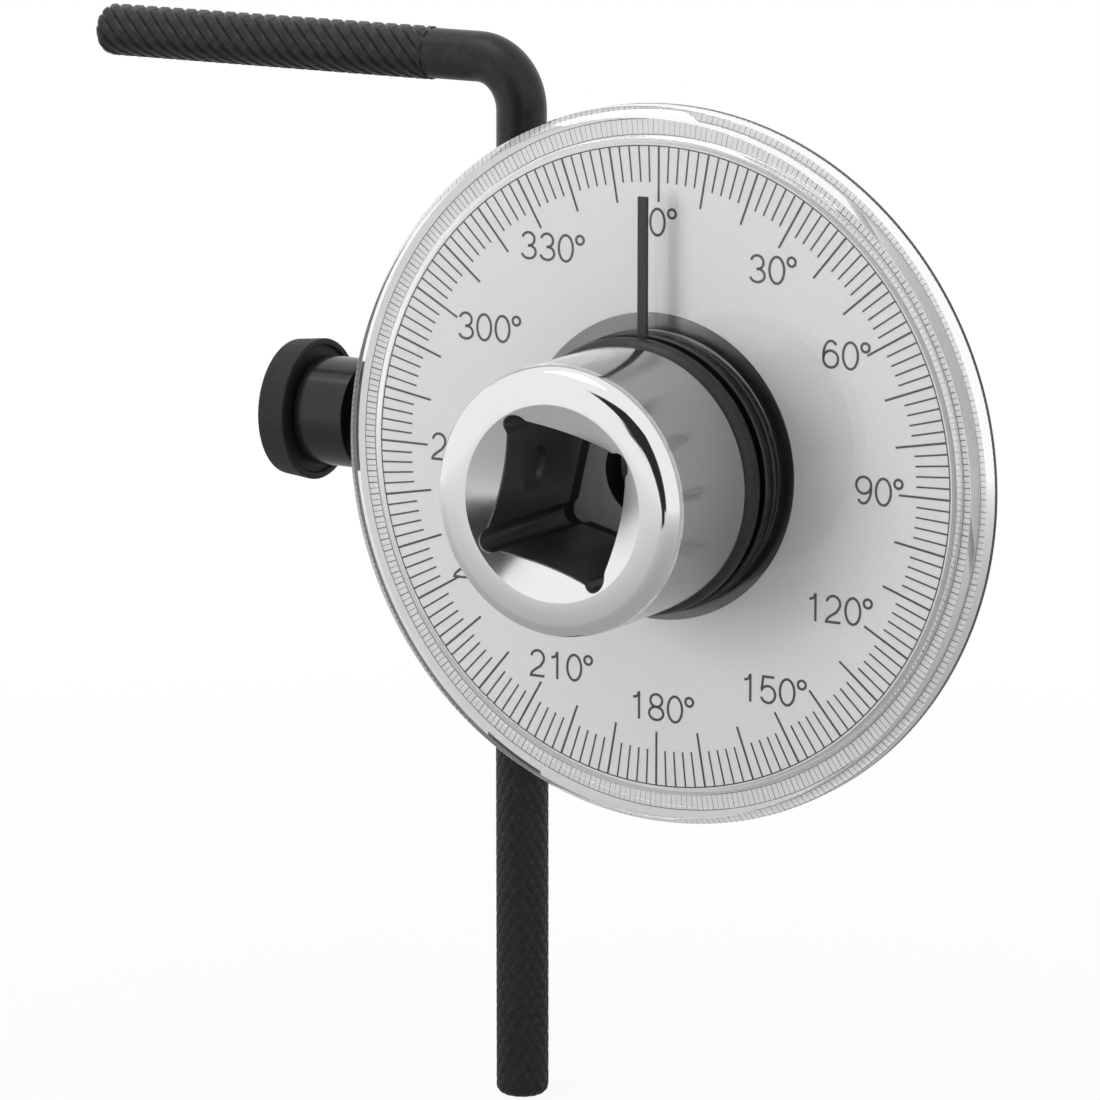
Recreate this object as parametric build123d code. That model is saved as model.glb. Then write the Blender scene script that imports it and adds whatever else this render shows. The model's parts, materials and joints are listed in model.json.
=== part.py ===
from build123d import *
import math
import os

os.makedirs("parts", exist_ok=True)

# Torque angle gauge, in millimetres.
# The drive axis is Y: the socket faces -Y, towards the reader of the dial, and the square
# tang faces +Y. Z is up and X runs to the reader's right. The origin is on the drive axis,
# in the plane of the socket's front face.

# Clearances
run_gap = 0.05            # radial, between parts that turn or slide in each other
seat_gap = 0.02           # radial, between parts that are pushed together
face_gap = 0.1            # axial, between faces that pass each other
eps = 0.5                 # how far a cutter reaches past the face that it opens

# Drive spindle
socket_square = 12.9      # across the flats of the female square
socket_relief_d = 2.4     # round relief in each corner of the female square
socket_relief_in = 0.85   # from the flats to the relief's centre
socket_past_barrel = 4.15 # how far the square runs past the barrel, into the neck
core_hole_in = 1.8        # from the flats to the wall of the hole drilled before broaching
core_hole_past = 3.0      # how far that hole runs past the square
lead_in_width = 2.9       # of the cone that guides the wrench, beside each flat
lead_in_depth = 1.7
dimple_d = 4.5            # recess for the ball of the tool that drives the gauge
dimple_depth = 1.0
dimple_y = 8.5
barrel_d = 25.8
barrel_length = 14.15
barrel_edge = 0.3
lip_width = 1.45          # of the rounded edge round the face, across the barrel
lip_length = 2.1          # and along it
lip_bulge = 0.39          # how far the edge stands out past a plain cone
neck_step = 1.25          # radial, from the journal to the neck
journal_d = 19.0
tang_square = 12.65       # across the flats of the male square
tang_corner_d = 16.9
tang_length = 15.5
tang_lead = 1.4
drive_turn = 13.4         # degrees, how far both squares stand turned clockwise

# Detent of the tang
ball_d = 4.8
ball_proud = 0.95
ball_at = 7.7             # from the shoulder to the ball
ball_mouth_d = 3.96
ball_mouth_depth = 0.9
detent_bore_past = 3.0    # how far the bore reaches past the drive axis
spring_wire = 0.45        # square wire
spring_d = 3.5            # mean diameter of the coil
spring_pitch = 1.13

# Pointer
o_ring_section = 2.7
o_ring_flat = 1.3         # width of the flats where the ring is pressed between its neighbours
carrier_rim = 0.13        # how far the carrier stands out past the O-ring
carrier_thickness = 1.3
carrier_edge = 0.15
pointer_width = 1.0
pointer_thickness = 0.4
pointer_foot_wall = 0.5   # of the carrier, left inside the pointer's foot
pointer_tip_r = 26.7

# Dial
lens_d = 70.0
lens_thickness = 3.8
lens_bevel_width = 0.85   # front bevel of the rim, across the lens
lens_bevel = 1.55         # and along it
lens_edge_width = 0.2     # second, steeper bevel
lens_edge_bevel = 0.75
lens_wall = 3.05          # between the rim and the recess for the plates
plate_gap = 0.55          # radial, open between the recess and the scale plate
scale_plate_thickness = 0.8
back_plate_step = 0.2     # radial, how far the back plate's boss stays inside the scale plate
back_plate_boss = 0.8     # how far the back plate reaches into the lens's recess
back_plate_rim = 0.6      # thickness of its rim, behind the lens
back_plate_inside = 0.5   # radial, how far the rim stays inside the lens
ring_lip = 0.5            # radial, how far the ring nut's flange laps over the lens
ring_web = 0.4            # thickness of that flange, in front of the lens
ring_edge = 0.15
sleeve_wall = 0.65
sleeve_length = 2.1
dowel_d = 0.96
dowel_past_sleeve = 1.0   # from the sleeve to the dowel's axis
dowel_in_lens = 1.0
dowel_in_flange = 1.6

# Housing
hub_wall = 1.5
flange_past_body = 3.0    # radial
flange_thickness = 2.5
flange_edge = 0.5
body_d = 34.0
body_length = 13.6        # from the flange's front to the back of the body
body_edge = 1.2
bush_wall = 1.5
washer_width = 3.9        # radial, past the journal
washer_thickness = 0.95
circlip_width = 1.8       # radial, past the journal
circlip_thickness = 1.1
circlip_gap = 5.0
circlip_lug_d = 3.4
circlip_eye_d = 1.5
circlip_lug_in = 0.2      # from the clip's edge to the lug's centre, radial
circlip_lug_side = 1.4    # from the gap to the lug's centre, sideways
groove_depth = 0.7
shoulder_past = 1.5       # from the circlip's groove to the tang's shoulder
shoulder_edge = 0.4

# Reaction rod and its clamp
rod_x = -21.1
rod_past_flange = 7.1     # from the flange's front to the rod's axis
rod_d = 5.0
knurl_height = 0.15       # radial, how far the knurl's crests stand out
rod_foot_z = -68.2
arm_z = 37.2
arm_reach = 51.3
bend_r = 5.0
arm_turn = 3.0            # degrees, how far the arm stands turned to the back
upright_knurl_top = 24.0
arm_knurl_start = 10.4    # from the upright's axis
foot_round = 0.9
tip_round = 1.7
clamp_block_height = 16.0
clamp_block_edge = 0.6
boss_d = 11.1
boss_edge = 0.3
boss_root = 3.0           # how deep the boss starts inside the body
boss_reach = 37.0         # from the drive axis to the end of the boss
clamp_bush_wall = 1.28
clamp_bush_slit = 0.8
bush_collar_width = 1.32  # radial, past the bush
bush_collar = 0.8
bush_lip_width = 0.47     # radial, past the bush
bush_lip = 0.6

# Thumbscrew
screw_z = 0.3             # height of its axis
screw_d = 5.9
screw_clearance = 0.1
pad_d = 5.0
pad_length = 2.0
nose_d = 2.4
nose_length = 1.05
neck_gap = 1.9            # open between the boss and the screw's neck
screw_neck_length = 5.9
stud_d = 6.4
stud_length = 2.4
knob_past_neck = 1.65     # radial, how far the knob stands out past the neck
knob_taper = 0.35         # how much smaller its outer face is, radial
knob_thickness = 3.2
knob_edge = 0.4
knob_recess = 0.35        # depth of the recess round the neck
knob_recess_width = 0.95  # and its width, past the neck

# Sizes that follow from a neighbour's
socket_depth = barrel_length + socket_past_barrel
core_hole_d = socket_square - 2 * core_hole_in
mouth_d = socket_square + 2 * lead_in_width
neck_d = journal_d + 2 * neck_step
bush_d = journal_d + 2 * bush_wall
hub_d = bush_d + 2 * hub_wall
washer_d = journal_d + 2 * washer_width
circlip_d = journal_d + 2 * circlip_width
carrier_d = neck_d + 2 * (seat_gap + o_ring_section + carrier_rim)
pointer_foot_r = neck_d / 2 + run_gap + pointer_foot_wall
sleeve_d = hub_d + 2 * (run_gap + sleeve_wall)
ring_d = sleeve_d + 2 * ring_lip
dowel_r = sleeve_d / 2 + dowel_past_sleeve
lens_recess_d = lens_d - 2 * lens_wall
scale_plate_d = lens_recess_d - 2 * plate_gap
back_plate_d = lens_d - 2 * back_plate_inside
back_boss_d = scale_plate_d - 2 * back_plate_step
flange_d = body_d + 2 * flange_past_body
clamp_block_d = 2 * (rod_past_flange - face_gap)
knurl_d = rod_d + 2 * knurl_height
clamp_bush_d = knurl_d + 2 * (run_gap + clamp_bush_wall)
bush_collar_d = clamp_bush_d + 2 * bush_collar_width
bush_lip_d = clamp_bush_d + 2 * bush_lip_width
knob_d = boss_d + 2 * knob_past_neck
knob_recess_d = boss_d + 2 * knob_recess_width

# Stations along the drive axis, from the front
o_ring_y = barrel_length + seat_gap + o_ring_section / 2
carrier_y = o_ring_y + o_ring_section / 2 + face_gap
hub_y = carrier_y + carrier_thickness + 1.5 * face_gap
neck_end_y = hub_y - face_gap
ring_y = hub_y
lens_y = ring_y + ring_web
lens_back_y = lens_y + lens_thickness
flange_y = lens_back_y + back_plate_rim
back_plate_y = lens_back_y - back_plate_boss
scale_plate_y = back_plate_y - scale_plate_thickness
body_end_y = flange_y + body_length
washer_y = body_end_y + run_gap
groove_y = washer_y + washer_thickness
circlip_y = groove_y + run_gap
groove_end_y = circlip_y + circlip_thickness + run_gap
shoulder_y = groove_end_y + shoulder_past
tang_end_y = shoulder_y + tang_length
ball_y = shoulder_y + ball_at
rod_y = flange_y + rod_past_flange

# Stations along the thumbscrew, measured to the left from the drive axis
pad_tip = -rod_x + clamp_bush_d / 2 + seat_gap
pad_end = pad_tip + pad_length
screw_end = pad_end + run_gap
neck_start = boss_reach + neck_gap
knob_start = neck_start + screw_neck_length


def turned(points):
    """Solid of revolution round the drive axis, from (radius, station) points."""
    return revolve(make_face(Polyline(*points, close=True)), Axis.Y)


def ring(outer_d, inner_d, start, length):
    """Plain ring round the drive axis."""
    return turned(
        [
            (inner_d / 2, start),
            (outer_d / 2, start),
            (outer_d / 2, start + length),
            (inner_d / 2, start + length),
        ]
    )


def along_y(diameter, start, length, x=0, z=0):
    """Round bar that runs to the back from a station."""
    bar = Cylinder(diameter / 2, length, align=(Align.CENTER, Align.CENTER, Align.MIN))
    return Pos(x, start, z) * Rot(-90, 0, 0) * bar


def to_left(diameter, start, length):
    """Round bar on the thumbscrew's axis that runs to the left from a station."""
    bar = Cylinder(diameter / 2, length, align=(Align.CENTER, Align.CENTER, Align.MIN))
    return Pos(-start, rod_y, screw_z) * Rot(0, -90, 0) * bar


def upright(diameter, start, end):
    """Round bar on the rod's axis, between two heights."""
    bar = Cylinder(diameter / 2, end - start, align=(Align.CENTER, Align.CENTER, Align.MIN))
    return Pos(rod_x, rod_y, start) * bar


def square_bar(profile, start, length):
    """Bar of a square profile along the drive axis, turned as the drive stands."""
    bar = extrude(profile, length)
    return Rot(0, drive_turn, 0) * (Pos(0, start + length, 0) * Rot(90, 0, 0) * bar)


def drive_spindle():
    """Chromed spindle: barrel with the female square, neck, journal and male square."""
    barrel_r = barrel_d / 2
    face_r = barrel_r - lip_width
    slant = math.hypot(lip_width, lip_length)
    crown = (
        barrel_r - lip_width / 2 + lip_bulge * lip_length / slant,
        lip_length / 2 - lip_bulge * lip_width / slant,
    )
    lip = ThreePointArc((face_r, 0), crown, (barrel_r, lip_length))
    groove_r = journal_d / 2 - groove_depth
    edge = Polyline(
        (barrel_r, lip_length),
        (barrel_r, barrel_length - barrel_edge),
        (barrel_r - barrel_edge, barrel_length),
        (neck_d / 2, barrel_length),
        (neck_d / 2, neck_end_y),
        (journal_d / 2, neck_end_y),
        (journal_d / 2, groove_y),
        (groove_r, groove_y),
        (groove_r, groove_end_y),
        (journal_d / 2, groove_end_y),
        (journal_d / 2, shoulder_y - shoulder_edge),
        (journal_d / 2 - shoulder_edge, shoulder_y),
        (0, shoulder_y),
        (0, 0),
        (face_r, 0),
    )
    body = revolve(make_face(lip + edge), Axis.Y)

    tang_r = tang_corner_d / 2
    envelope = turned(
        [
            (0, shoulder_y - eps),
            (tang_r, shoulder_y - eps),
            (tang_r, tang_end_y - tang_lead),
            (tang_square / 2 - tang_lead / 2, tang_end_y),
            (0, tang_end_y),
        ]
    )
    tang = square_bar(Rectangle(tang_square, tang_square), shoulder_y - eps, tang_length + eps)
    body += tang & envelope

    relief_pitch = socket_square - 2 * socket_relief_in
    reliefs = GridLocations(relief_pitch, relief_pitch, 2, 2)
    broach = Rectangle(socket_square, socket_square) + reliefs * Circle(socket_relief_d / 2)
    body -= square_bar(broach, -eps, socket_depth + eps)
    core_end = socket_depth + core_hole_past
    body -= turned(
        [
            (0, -eps),
            (core_hole_d / 2, -eps),
            (core_hole_d / 2, core_end),
            (0, core_end + core_hole_d / 4),
        ]
    )
    slope = lead_in_width / lead_in_depth
    body -= turned(
        [
            (0, -eps),
            (mouth_d / 2 + eps * slope, -eps),
            (socket_square / 2, lead_in_depth),
            (0, lead_in_depth),
        ]
    )
    body -= in_drive(across_drive(dimple_d, socket_square / 2 - eps, dimple_depth + eps, dimple_y))
    bore = across_drive(ball_d + 2 * run_gap, -detent_bore_past, bore_mouth + detent_bore_past, ball_y)
    body -= in_drive(bore)
    cone = Cone(
        ball_mouth_d / 2,
        ball_d / 2 + run_gap,
        ball_mouth_depth,
        align=(Align.CENTER, Align.CENTER, Align.MIN),
    )
    body -= in_drive(Pos(-tang_square / 2, ball_y, 0) * Rot(0, 90, 0) * cone)
    return body


def across_drive(diameter, start, length, y):
    """Round bar across the drive axis that runs to the left, before the drive is turned."""
    bar = Cylinder(diameter / 2, length, align=(Align.CENTER, Align.CENTER, Align.MIN))
    return Pos(-start, y, 0) * Rot(0, -90, 0) * bar


def in_drive(piece):
    """Turn a piece with the two squares."""
    return Rot(0, drive_turn, 0) * piece


bore_mouth = tang_square / 2 - ball_mouth_depth
ball_centre = tang_square / 2 + ball_proud - ball_d / 2


def detent_ball():
    """Ball that holds a socket on the male square."""
    return in_drive(Pos(-ball_centre, ball_y, 0) * Sphere(ball_d / 2))


def detent_spring():
    """Coil spring behind the ball."""
    inner_r = (spring_d - spring_wire) / 2
    reach = math.sqrt((ball_d / 2 + seat_gap) ** 2 - inner_r**2) + spring_wire / 2
    start = -detent_bore_past + spring_wire / 2 + seat_gap
    height = ball_centre - reach - start
    helix = Helix(spring_pitch, height, spring_d / 2)
    section = Plane(helix @ 0, x_dir=(1, 0, 0), z_dir=helix % 0) * Rectangle(spring_wire, spring_wire)
    coil = sweep(section, path=helix, is_frenet=True)
    return in_drive(Pos(-start, ball_y, 0) * Rot(0, -90, 0) * coil)


def spindle_bush():
    """Bronze bush that the journal turns in."""
    return ring(bush_d - 2 * seat_gap, journal_d + 2 * run_gap, hub_y, body_end_y - hub_y)


def thrust_washer():
    """Washer between the housing and the circlip."""
    return ring(washer_d, journal_d + 2 * run_gap, washer_y, washer_thickness - run_gap)


def spindle_circlip():
    """External circlip that keeps the spindle in its bush."""
    inner_d = journal_d - 2 * groove_depth + 2 * seat_gap
    clip = ring(circlip_d, inner_d, circlip_y, circlip_thickness)
    lug_z = circlip_lug_in - circlip_d / 2
    lug_x = circlip_gap / 2 + circlip_lug_side
    clip -= Pos(0, circlip_y + circlip_thickness / 2, -circlip_d / 2) * Box(
        circlip_gap, 2 * circlip_thickness, circlip_d / 2
    )
    for side in (-1, 1):
        clip += along_y(circlip_lug_d, circlip_y, circlip_thickness, side * lug_x, lug_z)
    for side in (-1, 1):
        clip -= along_y(
            circlip_eye_d, circlip_y - eps, circlip_thickness + 2 * eps, side * lug_x, lug_z
        )
    return clip


def friction_o_ring():
    """O-ring between the barrel and the pointer's carrier, flattened where it is pressed."""
    inner_r = neck_d / 2 + seat_gap
    middle_r = inner_r + o_ring_section / 2
    half = o_ring_section / 2
    flat = o_ring_flat / 2
    bulge = ThreePointArc((middle_r, -half), (middle_r + half, 0), (middle_r, half))
    seats = Polyline(
        (middle_r, half),
        (middle_r - flat, half),
        (inner_r, flat),
        (inner_r, -flat),
        (middle_r - flat, -half),
        (middle_r, -half),
    )
    return Pos(0, o_ring_y, 0) * revolve(make_face(bulge + seats), Axis.Y)


def pointer_carrier():
    """Black ring that turns on the neck and carries the pointer in a slot."""
    body = ring(carrier_d, neck_d + 2 * run_gap, carrier_y, carrier_thickness)
    front_edge = body.edges().group_by(Axis.Y)[0].sort_by(SortBy.RADIUS)[-1]
    body = chamfer(front_edge, carrier_edge)
    slot_floor = carrier_y + pointer_thickness + seat_gap / 2
    slot_foot = pointer_foot_r - seat_gap
    slot_length = carrier_d / 2 - slot_foot + eps
    slot = Box(
        pointer_width + 2 * seat_gap,
        slot_floor - carrier_y + eps,
        slot_length,
        align=(Align.CENTER, Align.MAX, Align.MIN),
    )
    return body - Pos(0, slot_floor, slot_foot) * slot


def pointer_needle():
    """Flat pointer with a square end, glued into the carrier's slot."""
    strip = Box(
        pointer_width,
        pointer_thickness,
        pointer_tip_r - pointer_foot_r,
        align=(Align.CENTER, Align.MIN, Align.MIN),
    )
    return Pos(0, carrier_y, pointer_foot_r) * strip


def dowel_hole(start, length):
    """Cutter for the dowel that keeps the dial from turning."""
    return along_y(dowel_d + 2 * seat_gap, start, length, -dowel_r)


def dial_lens():
    """Clear disc over the scale, with a bevelled rim and a recess behind."""
    web_end = scale_plate_y
    lens_r = lens_d / 2
    shoulder_r = lens_r - lens_edge_width
    body = turned(
        [
            (sleeve_d / 2 + seat_gap, lens_y),
            (shoulder_r - lens_bevel_width, lens_y),
            (shoulder_r, lens_y + lens_bevel),
            (lens_r, lens_y + lens_bevel + lens_edge_bevel),
            (lens_r, lens_back_y),
            (lens_recess_d / 2, lens_back_y),
            (lens_recess_d / 2, web_end),
            (sleeve_d / 2 + seat_gap, web_end),
        ]
    )
    return body - dowel_hole(web_end - dowel_in_lens, dowel_in_lens + eps)


def scale_plate():
    """Silver plate that carries the printed scale."""
    body = ring(scale_plate_d, hub_d + 2 * run_gap, scale_plate_y, scale_plate_thickness)
    return body - dowel_hole(scale_plate_y - eps, scale_plate_thickness + 2 * eps)


def dial_back_plate():
    """Stiff disc behind the scale plate, whose rim covers the back of the lens."""
    bore_r = hub_d / 2 + run_gap
    body = turned(
        [
            (bore_r, back_plate_y),
            (back_boss_d / 2, back_plate_y),
            (back_boss_d / 2, lens_back_y + seat_gap),
            (back_plate_d / 2, lens_back_y + seat_gap),
            (back_plate_d / 2, flange_y),
            (bore_r, flange_y),
        ]
    )
    return body - dowel_hole(back_plate_y - eps, flange_y - back_plate_y + 2 * eps)


def dial_dowel():
    """Pin through lens, plates and flange."""
    start = scale_plate_y - dowel_in_lens + seat_gap
    return along_y(dowel_d, start, flange_y + dowel_in_flange - seat_gap - start, -dowel_r)


def dial_retaining_ring():
    """Flanged ring nut on the hub that clamps the dial."""
    bore_r = hub_d / 2 + run_gap
    return turned(
        [
            (bore_r, ring_y),
            (ring_d / 2 - ring_edge, ring_y),
            (ring_d / 2, ring_y + ring_edge),
            (ring_d / 2, lens_y),
            (sleeve_d / 2, lens_y),
            (sleeve_d / 2, lens_y + sleeve_length),
            (bore_r, lens_y + sleeve_length),
        ]
    )


def rear_housing():
    """Black housing: hub, dial flange, body, rod clamp and boss of the thumbscrew."""
    body_r = body_d / 2
    edge_r = flange_d / 2
    flange_end = flange_y + flange_thickness
    body = turned(
        [
            (0, hub_y),
            (hub_d / 2, hub_y),
            (hub_d / 2, flange_y),
            (edge_r, flange_y),
            (edge_r, flange_end - flange_edge),
            (edge_r - flange_edge, flange_end),
            (body_r, flange_end),
            (body_r, body_end_y - body_edge),
            (body_r - body_edge, body_end_y),
            (0, body_end_y),
        ]
    )
    half = clamp_block_height / 2
    block = upright(clamp_block_d, -half, half)
    block = chamfer(block.edges().filter_by(GeomType.CIRCLE), clamp_block_edge)
    boss = to_left(boss_d, body_r - boss_root, boss_reach - body_r + boss_root)
    boss = chamfer(boss.edges().group_by(Axis.X)[0], boss_edge)
    body += block + boss
    body -= along_y(bush_d, hub_y - eps, body_end_y - hub_y + 2 * eps)
    body -= upright(clamp_bush_d + 2 * run_gap, -half - eps, half + eps)
    screw_bore = -rod_x + screw_d / 4
    body -= to_left(screw_d + 2 * screw_clearance, screw_bore, boss_reach - screw_bore + eps)
    return body - dowel_hole(flange_y - eps, dowel_in_flange + eps)


def rod_clamp_bush():
    """Split bush that turns in the housing and grips the rod."""
    half = clamp_block_height / 2 + run_gap
    body = upright(clamp_bush_d, -half, half)
    body += upright(bush_collar_d, half, half + bush_collar)
    body += upright(bush_lip_d, -half - bush_lip, -half)
    body -= upright(knurl_d + 2 * run_gap, -half - bush_lip - eps, half + bush_collar + eps)
    slit_length = 2 * (half + bush_collar + bush_lip + eps)
    slit = Box(
        clamp_bush_slit,
        bush_collar_d,
        slit_length,
        align=(Align.CENTER, Align.MIN, Align.CENTER),
    )
    return body - Pos(rod_x, rod_y, 0) * slit


def bent_rod():
    """Reaction rod: knurled upright, bend and knurled arm that points to the left."""
    plain_foot = rod_foot_z + foot_round
    plain_tip = -arm_reach + tip_round
    path = FilletPolyline((0, 0, plain_foot), (0, 0, arm_z), (plain_tip, 0, arm_z), radius=bend_r)
    rod = sweep(Plane(path @ 0, z_dir=path % 0) * Circle(rod_d / 2), path=path)
    length = upright_knurl_top - rod_foot_z
    grip = Cylinder(knurl_d / 2, length, align=(Align.CENTER, Align.CENTER, Align.MIN))
    grip = fillet(grip.edges().group_by(Axis.Z)[0], foot_round)
    grip = chamfer(grip.edges().group_by(Axis.Z)[-1], knurl_height * 0.9)
    rod += Pos(0, 0, rod_foot_z) * grip
    hold = Cylinder(
        knurl_d / 2, arm_reach - arm_knurl_start, align=(Align.CENTER, Align.CENTER, Align.MIN)
    )
    hold = fillet(hold.edges().group_by(Axis.Z)[-1], tip_round)
    hold = chamfer(hold.edges().group_by(Axis.Z)[0], knurl_height * 0.9)
    rod += Pos(-arm_knurl_start, 0, arm_z) * Rot(0, -90, 0) * hold
    return Pos(rod_x, rod_y, 0) * Rot(0, 0, -arm_turn) * rod


def pressure_pad():
    """Brass pad between the thumbscrew and the clamp bush."""
    body = to_left(pad_d, pad_tip, pad_length)
    return body - to_left(nose_d + 4 * run_gap, pad_end - nose_length - run_gap, nose_length + eps)


def thumbscrew_body():
    """Screw shank with a neck as wide as the boss and a stud for the knob."""
    nose = to_left(nose_d, screw_end - nose_length, nose_length + eps)
    shank = to_left(screw_d, screw_end, neck_start - screw_end + eps)
    neck = to_left(boss_d, neck_start, screw_neck_length)
    neck = chamfer(neck.edges().group_by(Axis.X)[-1], boss_edge)
    stud = to_left(stud_d, knob_start - eps, stud_length + eps)
    return nose + shank + neck + stud


def thumbscrew_knob():
    """Round, slightly tapered knob on the stud of the thumbscrew."""
    outer_r = knob_d / 2 - knob_taper
    profile = [
        (0, knob_recess),
        (knob_recess_d / 2, knob_recess),
        (knob_recess_d / 2, 0),
        (knob_d / 2 - knob_edge, 0),
        (knob_d / 2, knob_edge),
        (outer_r, knob_thickness - knob_edge),
        (outer_r - knob_edge, knob_thickness),
        (0, knob_thickness),
    ]
    body = Pos(-knob_start, rod_y, screw_z) * Rot(0, 0, 90) * turned(profile)
    return body - to_left(stud_d + 2 * seat_gap, knob_start - eps, stud_length + seat_gap + eps)


pieces = {
    "drive_spindle": drive_spindle,
    "spindle_bush": spindle_bush,
    "thrust_washer": thrust_washer,
    "spindle_circlip": spindle_circlip,
    "friction_o_ring": friction_o_ring,
    "pointer_carrier": pointer_carrier,
    "pointer_needle": pointer_needle,
    "dial_retaining_ring": dial_retaining_ring,
    "dial_lens": dial_lens,
    "scale_plate": scale_plate,
    "dial_back_plate": dial_back_plate,
    "dial_dowel": dial_dowel,
    "rear_housing": rear_housing,
    "rod_clamp_bush": rod_clamp_bush,
    "bent_rod": bent_rod,
    "pressure_pad": pressure_pad,
    "thumbscrew_body": thumbscrew_body,
    "thumbscrew_knob": thumbscrew_knob,
    "detent_ball": detent_ball,
    "detent_spring": detent_spring,
}

for name, make in pieces.items():
    export_step(make(), f"parts/{name}.step")
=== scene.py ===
# %% [markdown]
# # A torque angle gauge, dressed for a photograph
# The gauge sits between a wrench and a socket and shows how far a bolt has turned. Its solids
# come from a CAD program and are loaded here as a fixed frame. This lesson gives them their
# finishes, and models again the pieces whose roundness, print or knurl the camera looks at.

# %% Load the solids
import json
import math

import bmesh
import bpy
from mathutils import Matrix, Vector

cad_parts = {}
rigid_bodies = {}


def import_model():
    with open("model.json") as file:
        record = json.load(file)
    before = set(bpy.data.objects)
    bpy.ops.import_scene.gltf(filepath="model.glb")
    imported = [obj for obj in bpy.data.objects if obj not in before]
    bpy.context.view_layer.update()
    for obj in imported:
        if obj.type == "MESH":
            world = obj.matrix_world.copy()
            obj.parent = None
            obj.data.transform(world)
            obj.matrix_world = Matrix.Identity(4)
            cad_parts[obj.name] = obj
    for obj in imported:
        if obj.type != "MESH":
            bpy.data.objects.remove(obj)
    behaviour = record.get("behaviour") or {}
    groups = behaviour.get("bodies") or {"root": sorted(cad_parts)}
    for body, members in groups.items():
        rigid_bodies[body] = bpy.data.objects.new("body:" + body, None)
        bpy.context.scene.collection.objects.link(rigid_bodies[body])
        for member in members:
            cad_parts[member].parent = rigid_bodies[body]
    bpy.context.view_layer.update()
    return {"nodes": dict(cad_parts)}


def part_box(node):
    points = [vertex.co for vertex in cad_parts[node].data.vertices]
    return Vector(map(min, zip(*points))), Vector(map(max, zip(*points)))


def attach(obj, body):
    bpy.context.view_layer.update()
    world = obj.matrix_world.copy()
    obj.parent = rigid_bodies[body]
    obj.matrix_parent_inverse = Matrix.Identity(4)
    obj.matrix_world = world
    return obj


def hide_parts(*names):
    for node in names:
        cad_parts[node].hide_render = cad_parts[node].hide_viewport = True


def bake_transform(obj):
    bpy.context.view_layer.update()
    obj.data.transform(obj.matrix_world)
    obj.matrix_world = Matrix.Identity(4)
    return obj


for spare in list(bpy.data.objects):
    bpy.data.objects.remove(spare)
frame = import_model()
print("solids:", sorted(frame["nodes"]))

# %% [markdown]
# Blender works in metres, and a gauge is easier to think of in millimetres. The pieces are
# modelled in millimetres round the drive axis, which is Y, and shrunk once when they are done.
# Where the dial's discs begin and end on that axis is read from the boxes of their solids.

# %% Sizes
MM = 0.001


def station(node):
    """First and last place of a solid along the drive axis, in millimetres."""
    low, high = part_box(node)
    return round(low.y / MM, 3), round(high.y / MM, 3)


def middle(node, axis):
    """Middle of a solid along one axis, in millimetres."""
    low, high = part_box(node)
    return round((low[axis] + high[axis]) / 2 / MM, 2)


lens_front, lens_back = station("dial_lens")
plate_front, plate_back = station("scale_plate")
backing_front, backing_back = station("dial_back_plate")
nut_front, nut_back = station("dial_retaining_ring")
clamp_y = middle("thumbscrew_knob", 1)
screw_z = middle("thumbscrew_knob", 2)
rod_x = middle("rod_clamp_bush", 0)
drive_turn = math.radians(13.4)
print("lens", lens_front, lens_back, "plate", plate_front, plate_back)
print("backing", backing_front, backing_back, "nut", nut_front, nut_back)
print("rod at", rod_x, clamp_y, "thumbscrew at", screw_z)

# %% [markdown]
# Most of the gauge was turned on a lathe. Blender's spin operator does the same: a profile
# of a few points is swept round an axis. A full spin merges its last step with its first,
# and points on the axis itself are merged into one pole.

# %% Lathe
weld = 0.0005


def lathe(profile, steps=256):
    """Spin (radius, station) points round the drive axis into a closed shell."""
    bm = bmesh.new()
    points = [bm.verts.new((radius, along, 0)) for radius, along in profile]
    edges = [bm.edges.new(pair) for pair in zip(points, points[1:] + points[:1])]
    bmesh.ops.spin(
        bm,
        geom=points + edges,
        axis=(0, 1, 0),
        cent=(0, 0, 0),
        angle=math.tau,
        steps=steps,
        use_merge=True,
    )
    bmesh.ops.remove_doubles(bm, verts=bm.verts, dist=weld)
    bmesh.ops.recalc_face_normals(bm, faces=bm.faces)
    return bm


def flat_ring(inner, outer, front, back, steps=256):
    """Spin a ring of rectangular section."""
    return lathe([(inner, front), (outer, front), (outer, back), (inner, back)], steps)


def lay_to_left(bm):
    """Turn a lathe's work from the drive axis onto the thumbscrew's axis."""
    turn = Matrix.Rotation(math.radians(90), 4, "Z")
    place = Matrix.Translation((0, clamp_y, screw_z))
    bmesh.ops.transform(bm, matrix=place @ turn, verts=bm.verts)


# %% [markdown]
# What isn't round starts as a block. A thin block that points away from the axis, turned to an
# angle of its own, is one line of the dial.

# %% Blocks


def add_block(bm, size, centre):
    """Add a box of that size round a centre, and return its corners."""
    corners = bmesh.ops.create_cube(bm, size=1)["verts"]
    bmesh.ops.scale(bm, vec=size, verts=corners)
    bmesh.ops.translate(bm, vec=centre, verts=corners)
    return corners


def add_dial_line(bm, degree, inner, outer, width, front, back):
    """Add a thin bar that points away from the axis, at an angle clockwise from the top."""
    size = (width, back - front, outer - inner)
    line = add_block(bm, size, (0, (front + back) / 2, (inner + outer) / 2))
    turn = Matrix.Rotation(math.radians(degree), 3, "Y")
    bmesh.ops.rotate(bm, matrix=turn, cent=(0, 0, 0), verts=line)


# %% [markdown]
# Real edges are never perfectly sharp. A bevel of a tenth of a millimetre or so catches a thin
# line of light, which tells the eye that a piece is solid. The bevel goes only on edges that
# bend more than a given angle, so the round walls stay as they are.

# %% Soft edges


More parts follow.
